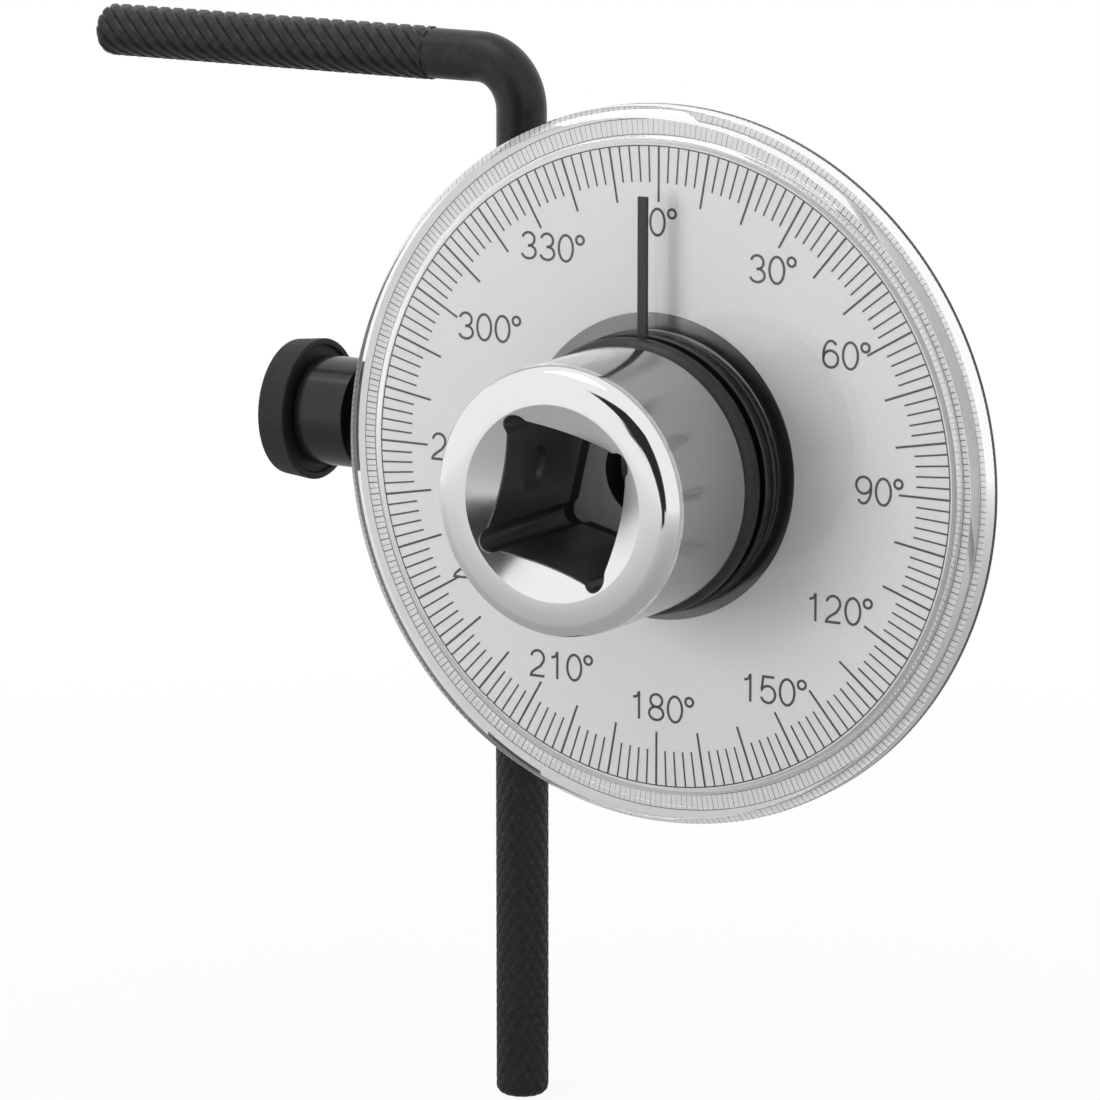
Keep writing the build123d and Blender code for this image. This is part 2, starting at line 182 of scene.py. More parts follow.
def bevel(bm, edges, width, segments, clamp=False):
    """Round off these edges, and by less where there is no room if clamp is set."""
    bmesh.ops.bevel(
        bm,
        geom=edges,
        offset=width,
        segments=segments,
        profile=0.5,
        affect="EDGES",
        material=-1,
        clamp_overlap=clamp,
    )


def soften(bm, width, segments=2, angle=35):
    """Bevel every edge that bends more than an angle, in degrees."""
    limit = math.radians(angle)
    sharp = [e for e in bm.edges if len(e.link_faces) == 2 and e.calc_face_angle(0) > limit]
    bevel(bm, sharp, width, segments, clamp=True)


# %% [markdown]
# A finished piece is shrunk to metres and made an object at the origin, and rides on the CAD
# body that it moves with. Faces are shaded smooth, edges over an angle stay crisp, and a
# Weighted Normal modifier keeps large flat faces flat beside their small bevels, which a
# mirror finish would otherwise show as a dent.

# %% Finish a piece


def add_object(name, bm):
    """Make an object of a bmesh, at the origin, and put it in the scene."""
    mesh = bpy.data.meshes.new(name)
    bm.to_mesh(mesh)
    bm.free()
    made = bpy.data.objects.new(name, mesh)
    bpy.context.scene.collection.objects.link(made)
    return made


def finish_piece(name, bm, body, material, stands_for=(), angle=35):
    """Make a piece of a bmesh and hang it on its CAD body, if it rides on one alone."""
    bmesh.ops.scale(bm, vec=(MM, MM, MM), verts=bm.verts)
    limit = math.radians(angle)
    for face in bm.faces:
        face.smooth = True
    for edge in bm.edges:
        edge.smooth = len(edge.link_faces) == 2 and edge.calc_face_angle(0) < limit
    piece = add_object(name, bm)
    piece.data.materials.append(material)
    weighted = piece.modifiers.new("flat faces stay flat", "WEIGHTED_NORMAL")
    weighted.keep_sharp = True
    if body:
        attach(piece, body)
    if stands_for:
        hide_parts(*stands_for)
    print(f"{name}: {len(piece.data.polygons)} faces")
    return piece


# %% [markdown]
# Every finish starts from the Principled shader with its own plain numbers. A few helpers add
# what a flat colour lacks: a noise that lightens and darkens it a little, one that makes it
# smoother in places, and a fine bump. They read Object coordinates, so the pattern is fixed to
# the piece. Sizes are in millimetres and are turned into the noise's scale. Most of a noise
# lies between the two values named first, and these are spread over the whole range wanted.

# %% Helpers for finishes
noise_low, noise_high = 0.35, 0.65


def new_finish(name, colour, roughness, metallic=0.0, **more):
    """A material whose Principled shader has these values."""
    material = bpy.data.materials.new(name)
    material.use_nodes = True
    shader = material.node_tree.nodes["Principled BSDF"]
    shader.inputs["Base Color"].default_value = (*colour, 1)
    shader.inputs["Roughness"].default_value = roughness
    shader.inputs["Metallic"].default_value = metallic
    for socket, value in more.items():
        shader.inputs[socket.replace("_", " ")].default_value = value
    return material


def noise_of(material, size, detail=3.0, stretch=(1, 1, 1)):
    """A noise on Object coordinates whose spots are about that many millimetres wide."""
    nodes, links = material.node_tree.nodes, material.node_tree.links
    place = nodes.new("ShaderNodeTexCoord")
    spread = nodes.new("ShaderNodeMapping")
    spread.inputs["Scale"].default_value = stretch
    noise = nodes.new("ShaderNodeTexNoise")
    noise.inputs["Scale"].default_value = 1 / (size * MM)
    noise.inputs["Detail"].default_value = detail
    links.new(place.outputs["Object"], spread.inputs["Vector"])
    links.new(spread.outputs["Vector"], noise.inputs["Vector"])
    return noise


def mottle(material, dark, light, size):
    """Let the colour wander between two shades."""
    nodes, links = material.node_tree.nodes, material.node_tree.links
    noise = noise_of(material, size)
    ramp = nodes.new("ShaderNodeValToRGB")
    ramp.color_ramp.elements[0].position = noise_low
    ramp.color_ramp.elements[1].position = noise_high
    ramp.color_ramp.elements[0].color = (*dark, 1)
    ramp.color_ramp.elements[1].color = (*light, 1)
    links.new(noise.outputs["Fac"], ramp.inputs["Fac"])
    links.new(ramp.outputs["Color"], nodes["Principled BSDF"].inputs["Base Color"])


def smudge(material, low, high, size, detail=3.0, stretch=(1, 1, 1)):
    """Let the roughness wander between two values."""
    nodes, links = material.node_tree.nodes, material.node_tree.links
    noise = noise_of(material, size, detail, stretch)
    span = nodes.new("ShaderNodeMapRange")
    span.inputs["From Min"].default_value = noise_low
    span.inputs["From Max"].default_value = noise_high
    span.inputs["To Min"].default_value = low
    span.inputs["To Max"].default_value = high
    links.new(noise.outputs["Fac"], span.inputs["Value"])
    links.new(span.outputs["Result"], nodes["Principled BSDF"].inputs["Roughness"])


def roughen(material, size, height, detail=3.0):
    """Add a bump of that size and height, in millimetres."""
    nodes, links = material.node_tree.nodes, material.node_tree.links
    noise = noise_of(material, size, detail)
    bump = nodes.new("ShaderNodeBump")
    bump.inputs["Distance"].default_value = height * MM
    links.new(noise.outputs["Fac"], bump.inputs["Height"])
    links.new(bump.outputs["Normal"], nodes["Principled BSDF"].inputs["Normal"])


# %% [markdown]
# The bright finishes come first. Chrome mirrors the studio, so its own colour is a plain light
# grey and its roughness low. Round the barrel it is a little rougher and has a darker colour,
# which is painted shade for the shadowed dial that it mirrors there. Inside the socket the
# broach left a streaked steel, and the groove at the bottom of the wall is coloured near black
# as painted shade. The dial is a satin silver sheet, nearly a matt paint to look at.

# %% Bright finishes
chrome = new_finish("polished chrome", (0.82, 0.825, 0.83), 0.07, 1.0)
smudge(chrome, 0.05, 0.10, 6)
roughen(chrome, 4, 0.004, 1.0)

# Painted shade: the barrel's chrome is darkened for the shadowed dial that it mirrors.
barrel_chrome_painted_shade = new_finish("chrome of the barrel, darkened as painted shade", (0.43, 0.433, 0.44), 0.14, 1.0)
smudge(barrel_chrome_painted_shade, 0.11, 0.17, 5)
roughen(barrel_chrome_painted_shade, 3, 0.004, 1.0)

cone_chrome = new_finish("chrome of the cone", (0.84, 0.845, 0.85), 0.18, 1.0)
smudge(cone_chrome, 0.15, 0.22, 4)

socket_steel = new_finish("broached steel", (0.30, 0.30, 0.305), 0.38, 1.0)
smudge(socket_steel, 0.34, 0.46, 1.5, 4, (1, 0.1, 1))

# Painted shade: the last stretch of the wall, in the groove's shadow, is coloured near black.
groove_painted_shade = new_finish("steel of the groove, darkened as painted shade", (0.06, 0.06, 0.062), 0.5, 0.8)

floor_steel = new_finish("drilled steel", (0.82, 0.82, 0.825), 0.5, 0.2)
mottle(floor_steel, (0.86, 0.86, 0.865), (0.97, 0.97, 0.975), 1.2)

silver = new_finish("silver dial", (0.70, 0.70, 0.71), 0.5, 0.1, Specular_IOR_Level=0.2)
mottle(silver, (0.69, 0.69, 0.70), (0.71, 0.71, 0.72), 0.5)
roughen(silver, 0.15, 0.002)

steel = new_finish("bright steel", (0.62, 0.62, 0.63), 0.16, 1.0)
smudge(steel, 0.12, 0.24, 1)

bronze = new_finish("bronze", (0.42, 0.25, 0.10), 0.35, 1.0)
mottle(bronze, (0.36, 0.21, 0.08), (0.48, 0.29, 0.12), 1)

brass = new_finish("turned brass", (0.62, 0.43, 0.15), 0.3, 1.0)
mottle(brass, (0.56, 0.38, 0.12), (0.66, 0.47, 0.18), 1)
print("bright finishes:", len(bpy.data.materials))

# %% [markdown]
# Nothing black is quite black. Enamel is dark and glossy. Anodising is a dark metal whose
# satin shine lifts it to a grey where it faces the light, and leaves it black where it only
# mirrors the barrel. Rubber is dull, and the rod's oxide shows a little steel through.

# %% Dark finishes
band_black = new_finish("satin black band", (0.095, 0.095, 0.097), 0.36, 1.0)
smudge(band_black, 0.33, 0.40, 1.5)

ink = new_finish("printed ink", (0.035, 0.035, 0.038), 0.55, Specular_IOR_Level=0.2)
mottle(ink, (0.03, 0.03, 0.033), (0.05, 0.05, 0.053), 0.2)

fine_ink = new_finish("fine grey ink", (0.11, 0.11, 0.113), 0.6, Specular_IOR_Level=0.2)

enamel = (0.012, 0.012, 0.013)
gloss_black = new_finish("gloss black enamel", enamel, 0.2, Specular_IOR_Level=0.45)
smudge(gloss_black, 0.16, 0.26, 3)
roughen(gloss_black, 1.2, 0.003)

rubber = new_finish("black rubber", (0.018, 0.018, 0.018), 0.42, Specular_IOR_Level=0.4)
mottle(rubber, (0.014, 0.014, 0.014), (0.024, 0.024, 0.024), 0.6)
roughen(rubber, 0.12, 0.004)

anodised = new_finish("dark anodised", (0.05, 0.05, 0.052), 0.38, 1.0)
smudge(anodised, 0.34, 0.44, 1)

grey_paint = (0.05, 0.052, 0.055)
pointer_grey = new_finish("grey painted pointer", grey_paint, 0.5, Specular_IOR_Level=0.3)
mottle(pointer_grey, (0.046, 0.048, 0.051), (0.056, 0.058, 0.061), 0.5)
roughen(pointer_grey, 0.1, 0.004)

body_black = new_finish("black cast housing", enamel, 0.45, Specular_IOR_Level=0.3)
mottle(body_black, (0.009, 0.009, 0.01), (0.017, 0.017, 0.018), 1.5)
roughen(body_black, 0.25, 0.02)

rod_black = new_finish("black oxide", (0.02, 0.02, 0.021), 0.38, 0.5, Specular_IOR_Level=0.5)
mottle(rod_black, (0.017, 0.017, 0.018), (0.026, 0.026, 0.027), 0.8)
roughen(rod_black, 0.2, 0.01)

moulded_black = new_finish("moulded black", (0.02, 0.02, 0.021), 0.6, Specular_IOR_Level=0.3)
mottle(moulded_black, (0.017, 0.017, 0.018), (0.025, 0.025, 0.026), 0.6)
roughen(moulded_black, 0.15, 0.012)

black_steel = new_finish("black spring steel", (0.05, 0.05, 0.052), 0.38, 0.9)
mottle(black_steel, (0.04, 0.04, 0.042), (0.075, 0.075, 0.078), 0.6)
print("finishes:", [m.name for m in bpy.data.materials])

# %% [markdown]
# The lens is clear acrylic. Real glass bends light, and the bent images of the scale's lines
# in its bevelled rim are what makes it look like a lens. The camera sees that bending. Light
# on its way to the dial goes straight through instead: both the rays that look for a lamp and
# those that a matt surface scatters find plain transparency, so no light is counted twice.

# %% Clear acrylic


def mix_shaders(tree, share, before, after):
    """Blend from one shader to another, by a share from 0 to 1."""
    mix = tree.nodes.new("ShaderNodeMixShader")
    tree.links.new(share, mix.inputs["Fac"])
    tree.links.new(before, mix.inputs[1])
    tree.links.new(after, mix.inputs[2])
    return mix.outputs["Shader"]


acrylic_tint = (0.985, 0.99, 0.99)
acrylic = new_finish("clear acrylic", acrylic_tint, 0.0, Transmission_Weight=1.0, IOR=1.49)
tree = acrylic.node_tree
bent = tree.nodes["Principled BSDF"].outputs["BSDF"]
straight = tree.nodes.new("ShaderNodeBsdfTransparent").outputs["BSDF"]
ray = tree.nodes.new("ShaderNodeLightPath")
for_lamps = mix_shaders(tree, ray.outputs["Is Shadow Ray"], bent, straight)
for_matt = mix_shaders(tree, ray.outputs["Is Diffuse Ray"], for_lamps, straight)
tree.links.new(for_matt, tree.nodes["Material Output"].inputs["Surface"])

# An opaque grey for the broken back edge of the rim, which draws a grey line.
grey_rim_edge = new_finish("opaque grey rim edge", (0.22, 0.22, 0.225), 0.7)
print("lens:", acrylic.name, "and", grey_rim_edge.name)

# %% [markdown]
# The spindle is the bright part in front, and its whole outline is spun at once. The wall of
# its socket starts as a round hole, and a broach then turns that hole square: each point of
# the wall is pushed out, at its own angle, to the square with round reliefs in its corners.

# %% Outline of the square socket
half_square = 6.45
relief_at = 5.6
relief_r = 1.2
lead_in_wide, lead_in_deep = 2.9, 1.7
mouth_r = half_square + lead_in_wide
cone_slope = lead_in_deep / lead_in_wide


def socket_radius(angle):
    """Distance from the axis to the socket's wall, at an angle from one of its flats."""
    angle = (angle + math.pi / 4) % (math.pi / 2) - math.pi / 4
    flat = half_square / math.cos(angle)
    centre = math.hypot(relief_at, relief_at)
    off = math.pi / 4 - abs(angle)
    inside = relief_r**2 - (centre * math.sin(off)) ** 2
    if inside <= 0:
        return flat
    return max(flat, centre * math.cos(off) + math.sqrt(inside))


print("socket from", round(socket_radius(0), 2), "to", round(socket_radius(math.pi / 4), 2))

# %% [markdown]
# The lip is one smooth curve from the flat face to the barrel. Its points come from a cubic
# that leaves the face almost flat and meets the barrel straight.

# %% Lip of the barrel
face_r = 11.45
barrel_r = 12.9
lip_end = 2.1
lip_steps = 12
lip_handles = ((face_r, 0), (12.55, 0.21), (barrel_r, 0.945), (barrel_r, lip_end))
lip = []
for step in range(lip_steps + 1):
    t = step / lip_steps
    weights = ((1 - t) ** 3, 3 * t * (1 - t) ** 2, 3 * t * t * (1 - t), t**3)
    lip.append(tuple(sum(w * p[axis] for w, p in zip(weights, lip_handles)) for axis in (0, 1)))
print("lip from", lip[0], "to", lip[-1])

# %% [markdown]
# The outline runs from the drilled hole at the bottom of the socket out through its mouth, over
# the lip, and back along the barrel, the neck and the journal with its groove for the circlip.
# The wall of the socket gets more rings than a plain one needs, for the broach to move.

# %% Spin the spindle
socket_depth = 18.3
chip_groove = socket_depth - 2.2
drill_r = 4.65
drill_end, drill_tip = socket_depth + 3.0, socket_depth + 5.3
barrel_end = 14.15
barrel_edge = 0.3
neck_r = 10.75
neck_end = round(nut_front - 0.1, 2)
journal_r = 9.5
clip_groove_r = 8.8
clip_groove = (37.82, 39.02)
shoulder = 40.52
shoulder_edge = 0.4
cone_ring, edge_ring = 3.0, 3.1
dimple_rings = [5.5 + 0.25 * step for step in range(25)]
profile = [
    (0, drill_tip),
    (drill_r, drill_end),
    (drill_r, socket_depth),
    (half_square, socket_depth),
    (half_square, chip_groove + 0.05),
    (half_square, chip_groove - 0.05),
    *[(half_square, along) for along in reversed(dimple_rings)],
    (half_square, edge_ring),
    (half_square, cone_ring),
    (mouth_r, 0),
    *lip,
    (barrel_r, barrel_end - barrel_edge),
    (barrel_r - barrel_edge, barrel_end),
    (neck_r, barrel_end),
    (neck_r, neck_end),
    (journal_r, neck_end),
    (journal_r, clip_groove[0]),
    (clip_groove_r, clip_groove[0]),
    (clip_groove_r, clip_groove[1]),
    (journal_r, clip_groove[1]),
    (journal_r, shoulder - shoulder_edge),
    (journal_r - shoulder_edge, shoulder),
    (0, shoulder),
]
bm = lathe(profile, 360)
print("spindle spun:", len(bm.faces), "faces")

# %% [markdown]
# Now the broaching. The front ring of the wall slides down the cone to meet the square and
# stays a tenth of a millimetre wide of it, which leaves a small broken edge. Further in the
# rings are close together, and on the left flat a shallow oval dimple is pressed into them for
# the ball of the wrench. At the bottom the wall steps back into the groove where the broach
# drops its chips.

# %% Broach the socket
near = 0.01
edge_break = 0.1
chip_groove_deep = 0.3
dimple_y = 7.8
dimple_r = 2.0
dimple_edge = 0.8
dimple_deep = 0.5
dimple_oval = 0.8
wall = [v for v in bm.verts if abs(math.hypot(v.co.x, v.co.z) - half_square) < near]
for vert in wall:
    angle = math.atan2(vert.co.z, vert.co.x)
    from_flat = angle + drive_turn
    out = socket_radius(from_flat)
    edge = (mouth_r - out) * cone_slope
    depth = vert.co.y
    if abs(depth - cone_ring) < near:
        out += edge_break
        depth = edge - edge_break * cone_slope
    elif abs(depth - edge_ring) < near:
        depth = edge + edge_break
    elif depth > chip_groove:
        out += chip_groove_deep
    aside = out * math.sin(from_flat)
    away = math.hypot(depth - dimple_y, aside * dimple_oval)
    if math.cos(from_flat) < 0 and away < dimple_r:
        fall = min(1.0, (dimple_r - away) / dimple_edge)
        out += dimple_deep * fall * fall * (3 - 2 * fall)
    vert.co = (out * math.cos(angle), depth, out * math.sin(angle))
bmesh.ops.recalc_face_normals(bm, faces=bm.faces)
print("wall moved:", len(wall), "points")

# %% [markdown]
# Each stretch of the spindle has a finish of its own, and the faces are given theirs by where
# they lie. What is left, such as the lip and the journal, is polished chrome.

# %% Finish the spindle
BARREL, CONE, WALL, GROOVE, FLOOR = range(1, 6)
socket_reach = 10.3
for face in bm.faces:
    spot = face.calc_center_median()
    radius = math.hypot(spot.x, spot.z)
    in_socket = 0 < spot.y < drill_tip and radius < socket_reach
    # The barrel's faces take the chrome that is darkened as painted shade.
    if radius > neck_r and lip_end < spot.y < barrel_end - barrel_edge:
        face.material_index = BARREL
    elif in_socket and spot.y < mouth_r * cone_slope and face.normal.y < -0.6:
        face.material_index = CONE
    elif in_socket and (spot.y < chip_groove or radius < drill_r + 0.1):
        face.material_index = WALL
    # The groove's faces take the near-black steel, which is painted shade.
    elif in_socket and spot.y < socket_depth - near:
        face.material_index = GROOVE
    elif in_socket:
        face.material_index = FLOOR
spindle = finish_piece("spindle_barrel", bm, "spindle", chrome, ["drive_spindle"], 20)
for material in (barrel_chrome_painted_shade, cone_chrome, socket_steel, groove_painted_shade, floor_steel):
    spindle.data.materials.append(material)

# %% [markdown]
# Behind, the spindle ends in the male square that a socket is pushed onto. It is a block with
# rounded corners and a rounded end, turned as the female square is.

# %% Male square
tang_square = 12.65
tang_edge = 0.9
tang_from, tang_to = shoulder - shoulder_edge, station("drive_spindle")[1]
bm = bmesh.new()
tang_size = (tang_square, tang_to - tang_from, tang_square)
add_block(bm, tang_size, (0, (tang_from + tang_to) / 2, 0))
corners = [e for e in bm.edges if abs(e.verts[0].co.y - e.verts[1].co.y) > 1]
bevel(bm, corners, tang_edge, 5)
rim = [e for e in bm.edges if all(v.co.y > tang_to - near for v in e.verts)]
bevel(bm, rim, tang_edge, 3)
bmesh.ops.rotate(bm, matrix=Matrix.Rotation(drive_turn, 3, "Y"), verts=bm.verts)
finish_piece("male_square", bm, "spindle", chrome, ["drive_spindle"])

# %% [markdown]
# The dial stack from the front: a small ring nut, the clear lens, the silver plate with its
# scale and a stiff silver disc behind. The lens ends a hair in front of the plate, as a lens
# that rests on a printed sheet does, and the print lies in that gap.

# %% Ring nut
dial_hole_r = 12.55
nut_r = 13.7
nut_edge = 0.15
sleeve_r = 13.23
bm = lathe(
    [
        (dial_hole_r, nut_front),
        (nut_r - nut_edge, nut_front),
        (nut_r, nut_front + nut_edge),
        (nut_r, lens_front),
        (sleeve_r, lens_front),
        (sleeve_r, nut_back),
        (dial_hole_r, nut_back),
    ]
)
soften(bm, 0.04)
finish_piece("ring_nut", bm, "housing", anodised, ["dial_retaining_ring"])

# %% [markdown]
# The lens is a disc with a bevelled front rim and a recess behind for the plate. Its outer
# wall carries fine flutes, one every degree, which break the light in the rim into thin
# lines. Every second step of the spin is drawn in a little to make them. The broken edge
# behind them is given an opaque grey, which draws a thin grey line round the rim.

# %% Clear lens
lens_hole_r = 13.22
lens_r = 35.0
lens_face_r = 33.95
bevel_r, bevel_end = 34.8, lens_front + 1.55
recess_r = 31.95
recess_front = plate_front - 0.06
dull_edge = 0.16
flute_end = lens_back - dull_edge
flute_deep = 0.05
fluted_r = 34.93
bm = lathe(
    [
        (lens_hole_r, lens_front),
        (lens_face_r, lens_front),
        (bevel_r, bevel_end),
        (lens_r, bevel_end + 0.75),
        (lens_r, flute_end - 0.25),
        (lens_r, flute_end),
        (lens_r - dull_edge, lens_back),
        (recess_r, lens_back),
        (recess_r, recess_front),
        (lens_hole_r, recess_front),
    ],
    720,
)
soften(bm, 0.05, 2, 20)
for vert in bm.verts:
    radius = math.hypot(vert.co.x, vert.co.z)
    step = round(math.degrees(math.atan2(vert.co.z, vert.co.x)) * 2)
    if radius > fluted_r and step % 2 and vert.co.y < flute_end - 0.05:
        vert.co.x *= 1 - flute_deep / radius
        vert.co.z *= 1 - flute_deep / radius
# The broken edge behind the flutes takes the opaque grey, drawing a line round the rim.
for face in bm.faces:
    spot = face.calc_center_median()
    behind_flutes = math.hypot(spot.x, spot.z) > bevel_r and spot.y > lens_back - 0.2
    if behind_flutes and abs(face.normal.y) > 0.3:
        face.material_index = 1
lens = finish_piece("clear_lens", bm, "housing", acrylic, ["dial_lens"], 30)
lens.data.materials.append(grey_rim_edge)

# %% [markdown]
# The plate lies in the lens's recess. The disc behind has a step that stays inside that recess
# too, and a rim a hair behind the lens.

# %% Silver plate and its backing
plate_r = 31.4
bm = flat_ring(dial_hole_r, plate_r, plate_front, plate_back)
soften(bm, 0.04)
finish_piece("silver_plate", bm, "housing", silver, ["scale_plate"])

step_r = 31.8
backing_r = 34.5
backing_rim = lens_back + 0.02
bm = lathe(
    [
        (dial_hole_r, backing_front),
        (step_r, backing_front),
        (step_r, backing_rim),
        (backing_r, backing_rim),
        (backing_r, backing_back),
        (dial_hole_r, backing_back),
    ]
)
soften(bm, 0.06)
finish_piece("silver_backing", bm, "housing", silver, ["dial_back_plate"])

# %% [markdown]
# The scale has a line every two degrees and a longer one every ten. One line is a flat block,
# and turned copies of it are laid round the axis. A thin circle closes the scale outside.

# %% Scale lines
print_back = plate_front - 0.01
print_thick = 0.012
print_front = print_back - print_thick
circle_in, circle_out = 31.12, 31.24
long_from, long_wide = 25.85, 0.22
short_from, short_wide = 27.7, 0.17
bm = flat_ring(circle_in, circle_out, print_front, print_back, 360)
for degree in range(0, 360, 2):
    inner, width = (long_from, long_wide) if degree % 10 == 0 else (short_from, short_wide)
    add_dial_line(bm, degree, inner, circle_in + 0.02, width, print_front, print_back)
finish_piece("scale_lines", bm, "housing", ink)

# %% [markdown]
# Under the clear rim runs a second row of fine lines, one every degree, between two thin
# circles. It is printed on the silver disc behind, and the bevel and walls of the rim repeat
# it in the broken way that such a rim repeats everything. The lines are finest above and
# below, where the photograph hardly shows them.

# %% Fine lines under the rim
rim_back = lens_back + 0.016
rim_front = rim_back - print_thick
rim_in, rim_out = 32.1, 33.6
fine_in, fine_out = 32.15, 33.61
even_wide, odd_wide = 0.11, 0.06
bm = flat_ring(rim_in, rim_in + 0.07, rim_front, rim_back, 360)
copied = bmesh.ops.duplicate(bm, geom=bm.faces[:])["geom"]
outer_circle = [part for part in copied if isinstance(part, bmesh.types.BMVert)]
bmesh.ops.scale(bm, vec=(rim_out / rim_in, 1, rim_out / rim_in), verts=outer_circle)
for degree in range(360):
    share = 0.3 + 0.7 * abs(math.sin(math.radians(degree)))
    width = share * (odd_wide if degree % 2 else even_wide)
    add_dial_line(bm, degree, fine_in, fine_out, width, rim_front, rim_back)
finish_piece("rim_lines", bm, "housing", fine_ink)

# %% [markdown]
# A satin black band lies round the hub, under the lens. It is as thin as the print, and a hair
# above the middle, as the photograph shows it.

# %% Black band round the hub
band_in, band_out = 13.3, 14.95
band_centre = Vector((-0.15, 0, 0.25))
bm = flat_ring(band_in, band_out, print_front, print_back)
bmesh.ops.translate(bm, vec=band_centre, verts=bm.verts)
finish_piece("hub_band", bm, "housing", band_black)

# %% [markdown]
# The numbers look drawn by a pen of one width, as an engraving machine draws them. So each
# digit is written down as the path of its pen, made of arcs and straight runs round the middle
# of the digit. An arc is a row of points on an oval, from one angle to another.

# %% Paths of the digits
half_wide, half_high = 0.78, 1.27


def arc(x, z, wide, high, start, end):
    """Points on an oval, ten degrees apart, counted against the clock from the right."""
    steps = round(abs(end - start) / 10)
    angles = [math.radians(start + (end - start) * step / steps) for step in range(steps + 1)]
    return [(x + wide * math.cos(a), z + high * math.sin(a)) for a in angles]


six = [arc(0.03, -0.2, 0.81, 1.47, 48, 188), arc(0, -0.47, half_wide, 0.8, 0, 360)]
digit_paths = {
    "0": [arc(0, 0, half_wide, half_high, 0, 360)],
    "1": [
        [(0.16, 1.37), (0.16, -1.37)],
        [(-0.5, 0.76), (-0.2, 0.81), (0.02, 0.95), (0.12, 1.25)],
    ],
    "2": [
        [
            *arc(0, 0.53, 0.72, 0.74, 168, -24),
            (0.34, -0.26),
            (-0.3, -0.68),
            (-0.66, -1.0),
            (-0.76, -1.27),
            (half_wide, -1.27),
        ]
    ],
    "3": [arc(-0.02, 0.62, 0.67, 0.65, 165, -95), arc(0, -0.63, half_wide, 0.64, 92, -165)],
    "4": [[(0.35, 1.3), (0.35, -1.37)], [(0.35, 1.2), (-0.78, -0.55), (0.8, -0.55)]],
    "5": [
        [
            (0.68, 1.27),
            (-0.52, 1.27),
            (-0.67, 0.1),
            *arc(0, -0.45, half_wide, 0.82, 150, -160),
        ]
    ],
    "6": six,
    "7": [[(-0.78, 1.27), (0.76, 1.27), (0.2, 0.1), (-0.1, -1.37)]],
    "8": [arc(0, 0.65, 0.65, 0.62, 0, 360), arc(0, -0.62, half_wide, 0.65, 0, 360)],
    "9": [[(-x, -z) for x, z in path] for path in six],
}
print("digits:", "".join(digit_paths))

# %% [markdown]
# The pen then runs along each path. At every point it leaves one corner to its left and one to
# its right, square to the way it goes, and doubled in depth these give a thin flat ribbon.

# %% The pen
pen = 0.26


def draw(bm, path, spot):
    """Lay a ribbon of the pen's width along a path that is placed at a spot."""
    closed = math.dist(path[0], path[-1]) < 0.001
    points = [Vector(p) for p in (path[:-1] if closed else path)]
    rows = []
    for index, point in enumerate(points):
        at_end = index + 1 == len(points) and not closed
        before = points[index - 1] if closed or index else point
        after = point if at_end else points[(index + 1) % len(points)]
        ways = [way.normalized() for way in (point - before, after - point) if way.length > 0]
        way = sum(ways, Vector((0, 0))).normalized()
        reach = pen / 2 / max(0.5, way.dot(ways[0]))
        side = Vector((-way.y, way.x)) * reach
        corners = [(point + side, print_front), (point - side, print_front)]
        corners += [(point - side, print_back), (point + side, print_back)]
        rows.append([bm.verts.new((spot.x + c.x, along, spot.z + c.y)) for c, along in corners])
    for row, following in zip(rows, rows[1:] + rows[:1] if closed else rows[1:]):
        for corner in range(4):
            other = (corner + 1) % 4
            bm.faces.new((row[corner], row[other], following[other], following[corner]))
    if not closed:
        bm.faces.new(rows[0])
        bm.faces.new(rows[-1])


# %% [markdown]
# The numbers stand upright every thirty degrees, clockwise from the top, and each ends in a
# nought and a small ring, the degree mark. On this dial no number sits quite on its line. The
# table gives the place of each last nought, to the right of that line's point and up from it,
# as read from the photograph.

# %% Numbers
number_circle = 23.6
digit_pitch = 2.07
degree_mark = arc(1.57, 0.9, 0.42, 0.42, 0, 360)
last_noughts = {
    0: (-0.12, 0.30),
    30: (0.95, -0.18),
    60: (0.18, 0.97),
    90: (0.64, 0.14),
    120: (0.74, 0.16),
    150: (2.45, 0.15),
    180: (2.04, 0.18),
    210: (2.60, -0.12),
    240: (2.5, 0.2),
    270: (3.2, -0.05),
    300: (3.16, 0.40),
    330: (1.62, 0.19),
}
bm = bmesh.new()
for degree, (right, up) in last_noughts.items():
    angle = math.radians(degree)
    on_line = Vector((math.sin(angle), 0, math.cos(angle))) * number_circle
    last = on_line + Vector((right, 0, up))
    for place, digit in enumerate(reversed(str(degree))):
        for path in digit_paths[digit]:
            draw(bm, path, last - Vector((place * digit_pitch, 0, 0)))
    draw(bm, degree_mark, last)
bmesh.ops.recalc_face_normals(bm, faces=bm.faces)
finish_piece("scale_numbers", bm, "housing", ink)

# %% [markdown]
# The pointer is a thin grey strip. Its edges are broken so that they catch a little light. It
# lies in the front of a narrow ring that turns behind the barrel.

# %% Pointer and its ring
solid_front, carrier_back = station("pointer_carrier")
carrier_front = solid_front + 0.02
carrier_hole_r = 10.8
carrier_r = 13.6
carrier_edge = 0.15
bm = lathe(
    [
        (carrier_hole_r, carrier_front),
        (carrier_r - carrier_edge, carrier_front),
        (carrier_r, carrier_front + carrier_edge),
        (carrier_r, carrier_back),
        (carrier_hole_r, carrier_back),
    ]
)
soften(bm, 0.04, 2, 40)
finish_piece("carrier_ring", bm, "pointer", anodised, ["pointer_carrier"])

low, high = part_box("pointer_needle")
bm = bmesh.new()
add_block(bm, (high - low) / MM, (low + high) / 2 / MM)
soften(bm, 0.05)
finish_piece("pointer_strip", bm, "pointer", pointer_grey, ["pointer_needle"])

# %% [markdown]
# The thumbscrew's neck is gloss black and as wide as the boss that it turns in. It is spun on
# the drive axis, as all turned work here, and then laid on the screw's own axis. Its stations
# are distances from the drive axis.

